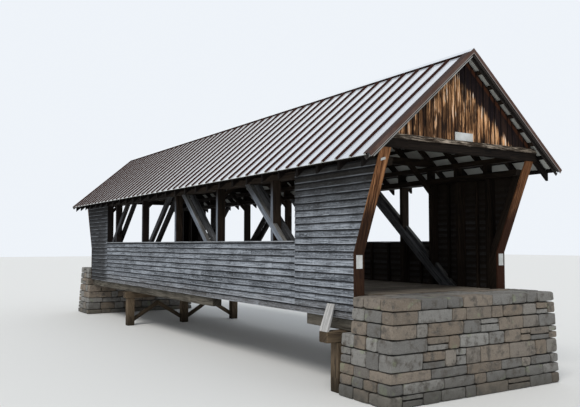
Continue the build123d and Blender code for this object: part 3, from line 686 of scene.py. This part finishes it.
def rough_stone():
    """Grey-brown field stone, a different shade for each block, darker near the water."""
    f = Finish("laid field stone", cloud_size=0.35, damp_top=0.6)
    tone = f.attribute("tone")
    place = f.add("ShaderNodeVectorMath", {0: f.place, 1: f.vector((tone, 31.0), tone)},
                  operation="ADD").outputs[0]
    speckle = f.noise(place, 45.0, 4.0, 0.7)
    veins = f.noise(place, 5.0, 6.0, 0.65)
    colour = f.fade(tone, (0.120, 0.115, 0.108), (0.270, 0.262, 0.245))
    tan_kind = f.ramp(f.chance(f.times(tone, 17.0)), 0.60, 0.85)
    colour = f.lay(colour, (0.205, 0.150, 0.100), tan_kind, 0.65)
    colour = f.lay(colour, (0.085, 0.074, 0.062), f.ramp(veins, 0.47, 0.68))
    colour = f.lay(colour, (0.40, 0.39, 0.37), f.ramp(speckle, 0.56, 0.72), 0.55)
    colour = f.lay(colour, (0.060, 0.055, 0.050), f.ramp(speckle, 0.44, 0.34), 0.60)
    lichen = f.ramp(f.noise(place, 2.6, 5.0), 0.60, 0.70)
    colour = f.lay(colour, (0.24, 0.27, 0.17), lichen, 0.45)
    colour = f.lay(colour, (0.055, 0.052, 0.043), f.damp, 0.7)
    return f.shade(colour, f.linear(speckle, 0.15, 0.78), f.linear(speckle, 0.25, veins), 0.03,
                   Finish.HARD)


def plate_paint():
    """Pale weathered paint with rusty scuffs."""
    f = Finish("pale painted plate")
    scuffs = f.noise(f.place, 22.0, 5.0, 0.7)
    film = f.noise(f.place, 3.0, 4.0, 0.6)
    colour = f.fade(f.ramp(film, 0.35, 0.7), (0.72, 0.74, 0.74), (0.54, 0.55, 0.53))
    colour = f.lay(colour, (0.23, 0.16, 0.11), f.ramp(scuffs, 0.62, 0.70))
    return f.shade(colour, f.linear(scuffs, 0.3, 0.4), scuffs, 0.001, Finish.HARD)


def iron():
    """Dark rusty fastenings."""
    f = Finish("rusty iron")
    spots = f.noise(f.place, 60.0)
    colour = f.fade(f.ramp(spots, 0.4, 0.6), (0.10, 0.060, 0.042), (0.055, 0.050, 0.050))
    f.shader.inputs["Metallic"].default_value = 0.6
    return f.shade(colour, f.linear(spots, 0.3, 0.5), spots, 0.0005, Finish.HARD)


ROOF_METAL = roof_metal()
TRIM_METAL = brown_paint("brown trim metal", (0.056, 0.030, 0.024), (0.094, 0.053, 0.041),
                         (0.135, 0.086, 0.072), (trim_hem,))
# Painted shade: the closure strips are painted near black for the shadow line under the ridge cap.
SHADED_CLOSURE_METAL = brown_paint("closure strip in painted shade", (0.012, 0.006, 0.005), (0.020, 0.009, 0.008),
                            (0.034, 0.018, 0.015))
STONE = rough_stone()
PLATE_PAINT = plate_paint()
IRON = iron()


# Clapboard walls

def wall_end(z):
    """How far along the wall a leaning end reaches at a height."""
    return WALL_END + max(0.0, z - KINK) * LEAN_PER_METRE


def clapboards(node, side, end, inner, outer, seed):
    """Lapped boards over one panel; outer(z) is where the panel ends, end is its way along X.

    Returns each row's nail line and how far it reaches.
    """
    low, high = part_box(node)
    work = Work(node + "_boards", seed)
    rows = round((high.z - low.z) / EXPOSURE)
    step = (high.z - low.z) / rows
    nail_lines = []
    for row in range(rows):
        foot = low.z + row * step
        head = min(foot + step + LAP, high.z)
        covered = (head - foot) / step
        reach = outer(foot)
        cuts = [inner]
        at = inner + work.random.uniform(FIRST_BOARD, BOARD_LENGTHS[1])
        while at < reach - LAST_BOARD:
            cuts.append(at)
            at += work.random.uniform(*BOARD_LENGTHS)
        cuts.append(None)
        for a, b in zip(cuts, cuts[1:]):
            length = (reach if b is None else b) - a
            curl = work.random.uniform(0.0, 0.004)
            slip = work.random.uniform(-0.004, 0.004)

            def ring(t):
                points = []
                for z, y in ((foot, SIDING_FACE), (head, STUD_FACE + FEATHER_EDGE[1]),
                             (head, STUD_FACE + FEATHER_EDGE[0]), (foot, SIDING_FACE - BUTT)):
                    stop = outer(z) if b is None else b - 0.002
                    x = a + (stop - a) * t
                    drift = wander((x, row * 3.1, 0), seed, 0.004)
                    lower = z == foot
                    out = -abs(drift.y) - curl * (1 - abs(2 * t - 1)) if lower else 0.0
                    lift = drift.z + slip if lower and row else 0.0
                    points.append(Vector((end * x, side * (y + out), z + lift)))
                return points

            work.board(max(2, round(length / 0.5)), ring, (0.0, covered, covered, 0.0))
        nail_lines.append((foot + 0.035, reach))
    work.place(CLAPBOARD, "weathered_siding", [node], bevel=0.0015)
    return nail_lines


def siding_nails(panels):
    """Small nail heads where the boards cross the studs."""
    work = Work("siding_nails", 5)
    for side, end, inner, nail_lines in panels:
        for z, reach in nail_lines:
            x = inner + 0.06
            while x < reach - 0.03:
                at = (end * (x + work.random.uniform(-0.01, 0.01)), side * (SIDING_FACE - 0.003),
                      z + work.random.uniform(-0.006, 0.006))
                work.stud_head(at, (0, side, 0), *SIDING_NAIL)
                x += STUD_SPACING
    work.place(IRON, "weathered_siding")


def walls():
    panels = []
    seed = 11
    for name, side in SIDES:
        low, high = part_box(f"{name}_low_siding")
        nail_lines = clapboards(f"{name}_low_siding", side, 1, low.x, lambda z: high.x, seed)
        panels.append((side, 1, low.x, nail_lines))
        for label, end in ENDS:
            seed += 7
            node = f"{name}_{label}_siding"
            near = min(abs(corner.x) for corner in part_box(node))
            panels.append((side, end, near, clapboards(node, side, end, near, wall_end, seed)))
    siding_nails(panels)


# Gable boards

def gable_boards(node, end, seed):
    """Rough upright boards of uneven width, cut to the slope at their tops, and their nails."""
    low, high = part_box(node)
    work = Work(node + "_boards", seed)
    nails = Work(node + "_nails", seed + 1)
    face = high.x if end > 0 else -low.x
    slope = (high.z - low.z) / high.y
    for side in (-1, 1):
        y = 0.0
        while y < high.y - 0.03:
            width = min(work.random.uniform(*GABLE_BOARD_WIDTHS), high.y - y)
            gap = work.random.choice(GABLE_BOARD_GAPS)
            front = face - work.random.uniform(0.0, 0.006)
            back = front - GABLE_BOARD
            near, far = y + gap / 2, y + width - gap / 2

            def ring(t):
                points = []
                for edge, x in ((near, front), (far, front), (far, back), (near, back)):
                    top = high.z - edge * slope
                    z = low.z + max(0.0, top - low.z) * t
                    drift = wander((edge * 9, z * 2.2, seed), seed, 0.0035)
                    shift = drift.y if 0 < t < 1 else 0.0
                    points.append(Vector((end * (x - abs(drift.x) * 0.6), side * (edge + shift), z)))
                return points

            work.board(8, ring, (0.0, 1.0, 1.0, 0.0))
            head = high.z - (y + width) * slope - 0.06
            for z in (*(low.z + row for row in GABLE_NAIL_ROWS), head):
                for across in (0.28, 0.72) if low.z + 0.04 < z <= head else ():
                    at = (end * (front - 0.002), side * (y + width * across), z)
                    nails.stud_head(at, (end, 0, 0), *GABLE_NAIL)
            y += width
    nails.place(IRON, "gable_board")
    work.place(GABLE_WOOD, "gable_board", [node], bevel=0.002)


# Timbers taken over from the frame

def timber_groups(bm, split):
    """The faces of each separate timber, also where two of them touch."""
    groups = {}
    for face in bm.faces:
        inside = face.calc_center_median() - face.normal * 0.002
        groups.setdefault(split(inside), []).append(face)
    return groups.values()


def single_timbers(bm):
    """Faces that hang together, one list at a time, always in the same order."""
    left = set(bm.faces)
    for first in bm.faces:
        if first not in left:
            continue
        left.remove(first)
        found, queue = [first], [first]
        while queue:
            for edge in queue.pop().edges:
                for face in edge.link_faces:
                    if face in left:
                        left.remove(face)
                        found.append(face)
                        queue.append(face)
        yield found


def copy_faces(faces, bm, key):
    """Copies faces into another mesh; corners with the same key become one."""
    copies = {}
    for face in faces:
        corners = []
        for vert in face.verts:
            if key(vert) not in copies:
                copies[key(vert)] = bm.verts.new(vert.co)
            corners.append(copies[key(vert)])
        if len(set(corners)) == len(corners) and bm.faces.get(corners) is None:
            bm.faces.new(corners)


def timbers(node, material, slot, seed, bevel=0.007, drift=0.003, cell=0.55, split=None):
    """The node's own timbers with worn arrises, a slight waver and a grain along each one."""
    work = Work(node + "_timber", seed)
    whole = bmesh.new()
    whole.from_mesh(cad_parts[node].data)
    for faces in timber_groups(whole, split or (lambda p: 0)):
        part = bmesh.new()
        copy_faces(faces, part, lambda vert: tuple(round(c, 5) for c in vert.co))
        bmesh.ops.dissolve_limit(part, angle_limit=radians(0.5), verts=part.verts, edges=part.edges)
        for found in single_timbers(part):
            dress_timber(work, found, bevel, drift, cell)
        part.free()
    whole.free()
    work.place(material, slot, [node])


def dress_timber(work, faces, bevel, drift, cell):
    """Copies one timber into the work, cut into lengths, wavered, bevelled and mapped."""
    tone = work.random.random()
    single = bmesh.new()
    copy_faces(faces, single, lambda vert: vert)
    longest = max(single.edges, key=lambda e: e.calc_length())
    axis = (longest.verts[1].co - longest.verts[0].co).normalized()
    spread = [v.co.dot(axis) for v in single.verts]
    start, stop = min(spread), max(spread)
    lengths = max(1, int((stop - start) / cell))
    for k in range(1, lengths):
        at = axis * (start + (stop - start) * k / lengths)
        everything = single.verts[:] + single.edges[:] + single.faces[:]
        bmesh.ops.bisect_plane(single, geom=everything, plane_co=at, plane_no=axis)
    sharp = [e for e in single.edges if e.is_manifold and e.calc_face_angle(0.0) > radians(25)]
    bmesh.ops.bevel(single, geom=sharp, offset=bevel, segments=1, affect="EDGES",
                    clamp_overlap=True)
    shift = work.random.uniform(0, 50)
    for vert in single.verts:
        vert.co += wander(vert.co, shift, drift, 1.3)
        vert.co.z = max(vert.co.z, 0.0)  # the legs stand on the ground
    bmesh.ops.recalc_face_normals(single, faces=single.faces[:])
    made = {v: work.bm.verts.new(v.co) for v in single.verts}
    for face in single.faces:
        new = work.bm.faces.new([made[v] for v in face.verts])
        new[work.tone] = tone
        normal = face.normal
        if abs(normal.dot(axis)) > 0.7:
            new[work.end] = 1.0
            side = axis.orthogonal().normalized()
            other = axis.cross(side)
        else:
            side = axis
            other = normal.cross(axis).normalized()
        turn = floor(normal.x * 3 + normal.y * 5 + normal.z * 7) * 0.31
        for loop in new.loops:
            at = loop.vert.co
            loop[work.grain].uv = (at.dot(side) + shift, at.dot(other) + turn + shift)
    single.free()


def truss_timbers(side, seed):
    """One side's truss and roof timbers, and its jambs."""
    for label in ("purlins", "rafters", "knee_braces", "end_posts", "top_chord", "bottom_chord",
                  "plate", "posts", "studs"):
        seed += 1
        timbers(f"{side}_{label}", FRAME_WOOD, "frame_timber", seed,
                cell=0.8 if label in ("purlins", "rafters") else 0.55)
    timbers(f"{side}_braces", BRACE_WOOD, "frame_timber", seed + 50)
    timbers(f"{side}_sill", SILL_WOOD, "weathered_siding", seed + 51, bevel=0.004)
    for end, _ in ENDS:
        timbers(f"{side}_{end}_jamb", JAMB_WOOD, "jamb_board", seed + 52, bevel=0.004, cell=0.4)
    return seed


def portal_timbers(end):
    """One end's portal beam, rake boards and bolsters."""
    board_back = max(abs(corner.x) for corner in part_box(f"{end}_portal_beam")) - BEAM_FACE_BOARD
    timbers(f"{end}_portal_beam", BEAM_WOOD, "frame_timber", 210, bevel=0.010, drift=0.007,
            cell=0.3, split=lambda p: abs(p.x) > board_back)
    timbers(f"{end}_rake_boards", RAKE_WOOD, "frame_timber", 212, bevel=0.003,
            split=lambda p: p.y > 0)
    timbers(f"{end}_bolsters", BOLSTER_WOOD, "wet_timber", 214, bevel=0.015, drift=0.010)


def bent_timbers(bent):
    """One bent's cap, legs and crossed struts."""
    timbers(f"{bent}_bent_cap", WET_WOOD, "wet_timber", 230, bevel=0.014, drift=0.009, cell=0.4)
    timbers(f"{bent}_bent_legs", WET_WOOD, "wet_timber", 231, bevel=0.014, drift=0.009, cell=0.3)
    bay = (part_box(f"{bent}_bent_legs")[1].y - 0.14) / 2
    timbers(f"{bent}_bent_struts", WET_WOOD, "wet_timber", 232, bevel=0.006,
            split=lambda p: floor(p.y / bay))


def frame_timbers():
    seed = 100
    for side, _ in SIDES:
        seed = truss_timbers(side, seed)
    timbers("tie_beams", FRAME_WOOD, "frame_timber", 201)
    for end, _ in ENDS:
        portal_timbers(end)
    timbers("floor_beams", FRAME_WOOD, "deck_timber", 220)
    timbers("floor_ledgers", FRAME_WOOD, "deck_timber", 221)
    for bent in ("front", "river"):
        bent_timbers(bent)


def stay_planks():
    """A wide plank from each end of the front cap, raking back and in to the siding's foot."""
    low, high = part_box("stays")
    middle = (low.x + high.x) / 2
    near, far = middle - STAY_WIDTH / 2, middle + STAY_WIDTH / 2
    run = high.y - SIDING_FACE
    rake = (run ** 2 + STAY_RISE ** 2) ** 0.5
    level = STAY_THICKNESS * rake / STAY_RISE
    upright = STAY_THICKNESS * rake / run
    work = Work("stay_planks", 222)
    for side in (-1, 1):

        def ring(t):
            points = []
            for x, inner in ((near, 0), (far, 0), (far, 1), (near, 1)):
                drift = wander((x, t * 2.0, side), 9, 0.004)
                y = high.y - inner * level * (1 - t) - run * t
                z = low.z + STAY_RISE * t - inner * upright * t
                points.append(Vector((x - STAY_SLANT * t + drift.x, side * y, z)))
            return points

        work.board(5, ring)
    work.place(PALE_PLANK, "pale_plank", ["stays"], bevel=0.004)


# Deck and abutments

def deck_planks():
    """Planks across the roadway, with uneven ends and two worn wheel tracks."""
    low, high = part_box("deck")
    work = Work("deck_planks", 301)
    x = low.x
    while x < high.x - 0.05:
        width = min(work.random.uniform(*PLANK_WIDTHS), high.x - x)
        sag = work.random.uniform(0.0, 0.006)
        a, b = x + 0.003, x + width - 0.003
        short = work.random.uniform(0.0, 0.015)

        def ring(t):
            y = low.y + short + (high.y - low.y - 2 * short) * t
            top = high.z - 0.007 * max(0.0, cos((abs(y) - WHEEL_TRACK) * 3.0)) - sag
            return [Vector((x, y, z)) for x, z in ((a, low.z), (b, low.z), (b, top), (a, top))]

        work.board(8, ring)
        x += width
    work.place(DECK_WOOD, "deck_timber", ["deck"], bevel=0.004)


def stone_block(work, low, high, spread, seed):
    """One roughly squared stone; spread(z) widens it across the roadway towards the ground."""
    size, centre = high - low, (low + high) / 2
    gap = work.random.uniform(0.002, 0.007)
    worn = work.random.uniform(0.003, 0.011)
    verts = {}

    def corner(key):
        if key not in verts:
            grid = Vector([low[a] + key[a] / STONE_CELLS * size[a] for a in range(3)])
            place = grid.copy()
            outer = [a for a in range(3) if key[a] in (0, STONE_CELLS)]
            for a in outer:
                inward = 1 if grid[a] < centre[a] else -1
                shift = Vector((seed, a * 7.0, 0))
                chips = noise.noise(grid * 3.1 + shift) * 0.013
                chips += noise.noise(grid * 11.0 + shift) * 0.007
                place[a] += inward * (gap + worn * (len(outer) - 1) + abs(chips))
            place.y *= spread(place.z)
            verts[key] = work.bm.verts.new(place)
        return verts[key]

    tone = work.random.random()
    made = []
    for axis in range(3):
        for level in (0, STONE_CELLS):
            for u in range(STONE_CELLS):
                for v in range(STONE_CELLS):
                    cell = []
                    for du, dv in ((0, 0), (1, 0), (1, 1), (0, 1)):
                        key = [u + du, v + dv]
                        key.insert(axis, level)
                        cell.append(corner(tuple(key)))
                    made.append(work.bm.faces.new(cell))
    work.close(made, tone)


def course_heights(work, low, high, count):
    """Uneven courses between two levels."""
    shares = [work.random.uniform(0.70, 1.35) for _ in range(count)]
    levels = [low]
    for share in shares:
        levels.append(levels[-1] + (high - low) * share / sum(shares))
    return list(zip(levels, levels[1:]))


def abutment_stones(node, end, seed):
    """Courses of laid blocks that fill the abutment, its bolster seat and its backing."""
    low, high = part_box(node)
    work = Work(node + "_stones", seed)
    near, far = (low.x, high.x) if end > 0 else (-high.x, -low.x)

    def spread(z):
        return 1.0 + ABUTMENT_SPREAD / ABUTMENT_HALF * (1.0 - z / high.z)

    backing = WALL_END + BACKING_STEP
    courses = [(a, b, near) for a, b in course_heights(work, 0.0, SEAT, SEAT_COURSES)]
    courses += [(a, b, backing) for a, b in course_heights(work, SEAT, high.z, BACKING_COURSES)]
    for z0, z1, x in courses:
        while x < far - 0.01:
            deep = far - x if far - x < DEEPEST_STONE else work.random.uniform(*STONE_DEPTHS)
            ends = sorted((end * x, end * (x + deep)))
            y = -ABUTMENT_HALF
            while y < ABUTMENT_HALF - 0.01:
                left = ABUTMENT_HALF - y
                wide = left
                if left >= WIDEST_LAST:
                    wide = min(work.random.uniform(*STONE_WIDTHS), left - NARROWEST_LAST)
                can_split = z1 - z0 > SPLIT_HEIGHT and wide < SPLIT_WIDTH
                split = can_split and work.random.random() < SPLIT_STONES
                middle = z0 + (z1 - z0) * work.random.uniform(0.38, 0.62)
                for a, b in ((z0, middle), (middle, z1)) if split else ((z0, z1),):
                    stone_block(work, Vector((ends[0], y, a)), Vector((ends[1], y + wide, b)),
                                spread, work.random.uniform(0, 90))
                y += wide
            x += deep
    work.place(STONE, "stone", [node])


# Roof fastenings and edges

def on_slope(side, x, along, height):
    """A point on a roof slope: along the bridge, down the slope from the ridge, off the pans."""
    return Vector((x, side * (along * cos(PITCH) + height * sin(PITCH)),
                   RIDGE - along * sin(PITCH) + height * cos(PITCH)))


def rib_places():
    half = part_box("left_roof")[1].x
    places = []
    x = RIB_SPACING / 2
    while x <= half - RIB_FOOT:
        places += [-x, x]
        x += RIB_SPACING
    return sorted(places)


def roof_screws():
    """A screw with its washer beside each rib, over every purlin but the one at the ridge."""
    work = Work("roof_screws", 401)
    last = EAVE / cos(PITCH) - LAST_PURLIN
    for side in (-1, 1):
        normal = Vector((0, side * sin(PITCH), cos(PITCH)))
        for k in range(1, PURLINS):
            along = TOP_PURLIN + (last - TOP_PURLIN) * k / (PURLINS - 1)
            for rib in rib_places():
                at = on_slope(side, rib + SCREW_FROM_RIB, along, 0.0005)
                work.stud_head(at, normal, *WASHER)
                work.stud_head(at + normal * WASHER[1], normal, *ROOF_SCREW)
    work.place(ROOF_METAL, "roof_metal")


def ridge_closures():
    """Folded strips that close the pans under the edge of the ridge cap; their near-black paint is
    painted shade under the cap.
    """
    work = Work("ridge_closures", 411)
    along = CLOSURE_LINE / cos(PITCH)
    upper, lower = along - 0.002, along + 0.002
    ribs = rib_places()
    for side in (-1, 1):
        for a, b in zip(ribs, ribs[1:]):
            rings = []
            for rib, way in ((a, 1), (b, -1)):
                corners = ((upper, 0.0, RIB_FOOT), (lower, 0.0, RIB_FOOT),
                           (lower, RIB_HEIGHT, RIB_TOP), (upper, RIB_HEIGHT, RIB_TOP))
                rings.append([on_slope(side, rib + way * wide / 2, s, h) for s, h, wide in corners])
            work.sweep(rings)
    work.place(SHADED_CLOSURE_METAL, "roof_metal")


def rake_laths():
    """Thin laths under the sheets' ends, behind the trim; their lower edges show below it."""
    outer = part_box("left_roof")[1].x - 0.001
    inner = outer - 0.022
    top, foot = 0.0105, 0.092
    first, last = 0.085, (EAVE - 0.03) / cos(PITCH)
    for name, end in ENDS:
        work = Work(name + "_rake_laths", 431)
        for side in (-1, 1):

            def ring(t):
                along = first + (last - first) * t
                low = 0.003 * noise.noise(Vector((along * 1.7, side * 5.0, end))) - foot
                return [on_slope(side, end * x, along, height) for x, height in
                        ((outer, -top), (outer, low), (inner, low), (inner, -top))]

            work.board(12, ring)
        work.place(RAKE_WOOD, "frame_timber", bevel=0.002)


def gable_tails():
    """The gable rafters go on past the portal beams' ends, down to the eaves."""
    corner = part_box("left_rafters")[0]
    foot, reach = corner.z, -corner.y
    beam_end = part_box("front_portal_beam")[1].y
    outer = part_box("front_gable")[0].x - 0.001
    inner = outer - TAIL_WIDTH
    for name, end in ENDS:
        work = Work(name + "_gable_tails", 441)
        for side in (-1, 1):

            def ring(t):
                y = beam_end + (reach - beam_end) * t
                low = foot + (reach - y) * tan(PITCH) + wander((y * 3.0, side, end), 7, 0.003).z
                high = low + TAIL_DEPTH / cos(PITCH)
                return [Vector((end * x, side * y, z)) for x, z in
                        ((outer, high), (outer, low), (inner, low), (inner, high))]

            work.board(4, ring)
        work.place(FRAME_WOOD, "frame_timber", bevel=0.004)


# Plates

def jamb_patch():
    """A small tin patch nailed on the near jamb, high up."""
    work = Work("jamb_patch", 421)
    up = Vector((LEAN_PER_METRE, 0, 1)).normalized()
    out = Vector((up.z, 0, -up.x))
    z = 4.99
    centre = Vector((wall_end(z), -2.245, z)) + out * 0.0355
    along = (up * 0.35 + Vector((0, 1, 0))).normalized()
    over = out.cross(along)
    half, wide, thick = 0.060, 0.028, 0.0015
    rings = []
    for t in (-half, -half / 3, half / 3, half):
        curl = 0.004 * abs(t) / half
        rings.append([centre + along * t + over * w + out * (h + curl)
                      for w, h in ((-wide, 0.0), (wide, 0.0), (wide, thick), (-wide, thick))])
    work.sweep(rings)
    for t in (-0.05, 0.05):
        work.stud_head(centre + along * t + out * 0.004, out, *PATCH_NAIL)
    work.place(PLATE_PAINT, "painted_plate")


def plates():
    """The bare notice board and marker plates, each with its screws."""
    screws = Work("plate_screws", 501)
    low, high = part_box("notice_board")
    for y in (low.y + 0.03, high.y - 0.03):
        for z in (low.z + 0.025, high.z - 0.025):
            screws.stud_head((high.x, y, z), (1, 0, 0), *PLATE_SCREW)
    low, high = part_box("markers")
    for end in (-1, 1):
        for side in (-1, 1):
            for z in (low.z + 0.03, high.z - 0.03):
                at = (end * high.x, side * (high.y - 0.075), z)
                screws.stud_head(at, (end, 0, 0), *PLATE_SCREW)
    screws.place(IRON, "painted_plate")
    timbers("notice_board", PLATE_PAINT, "painted_plate", 502, bevel=0.003, drift=0.0, cell=9.0)
    timbers("markers", PLATE_PAINT, "painted_plate", 503, bevel=0.0015, drift=0.0, cell=9.0)


def keep_metal():
    """The roof sheets, ridge cap and rake trim keep their own shapes."""
    for node in ("left_roof", "right_roof", "ridge_cap", "front_rake_trim", "back_rake_trim"):
        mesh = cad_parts[node].data
        mesh.materials.clear()
        mesh.materials.append(TRIM_METAL if "trim" in node else ROOF_METAL)


# Stage, light and camera

def stage_floor():
    bm = bmesh.new()
    bmesh.ops.create_grid(bm, x_segments=1, y_segments=1, size=160)
    mesh = bpy.data.meshes.new("floor")
    bm.to_mesh(mesh)
    bm.free()
    finish = Finish("pale floor")
    finish.shader.inputs["Base Color"].default_value = rgba((0.80, 0.80, 0.79))
    finish.shader.inputs["Roughness"].default_value = 0.9
    mesh.materials.append(finish.material)
    linked("floor", mesh)


def soft_light():
    """An even sky that looks brighter than it lights, and a high, wide sun."""
    world = bpy.data.worlds.new("soft sky")
    bpy.context.scene.world = world
    world.use_nodes = True
    world.node_tree.nodes.clear()
    n = Nodes(world.node_tree)
    rays = n.add("ShaderNodeLightPath").outputs
    seen = n.math("MAXIMUM", rays["Is Camera Ray"],
                  n.math("MAXIMUM", rays["Is Glossy Ray"], rays["Is Transmission Ray"]))
    light = n.add("ShaderNodeBackground", {"Color": rgba((0.90, 0.95, 1.0)), "Strength": 0.62})
    backdrop = n.add("ShaderNodeBackground", {"Color": rgba((0.86, 0.90, 0.95)), "Strength": 1.0})
    mixed = n.add("ShaderNodeMixShader", {0: seen, 1: light.outputs[0], 2: backdrop.outputs[0]})
    n.add("ShaderNodeOutputWorld", {0: mixed.outputs[0]})
    sun = bpy.data.lights.new("high soft sun", "SUN")
    sun.energy = 1.55
    sun.angle = radians(24)
    sun.color = (1.0, 0.97, 0.92)
    lamp = linked("high soft sun", sun)
    lamp.rotation_euler = Vector((0.42, -0.62, 0.90)).to_track_quat("Z", "Y").to_euler()


def photo_camera():
    lens = bpy.data.cameras.new("photo view")
    lens.lens = CAMERA_LENS
    lens.sensor_width = SENSOR
    lens.sensor_fit = "HORIZONTAL"
    lens.clip_end = 400.0
    camera = linked("photo view", lens)
    camera.location = CAMERA_AT
    camera.rotation_euler = (pi / 2 + CAMERA_PITCH, 0.0, CAMERA_YAW - pi / 2)
    bpy.context.scene.camera = camera


def dress_bridge():
    walls()
    gable_boards("front_gable", 1, 31)
    gable_boards("back_gable", -1, 37)
    frame_timbers()
    stay_planks()
    deck_planks()
    abutment_stones("front_abutment", 1, 41)
    abutment_stones("back_abutment", -1, 43)
    roof_screws()
    ridge_closures()
    rake_laths()
    gable_tails()
    plates()
    jamb_patch()
    keep_metal()


dress_bridge()
stage_floor()
soft_light()
photo_camera()
bpy.context.scene.view_settings.view_transform = "Standard"
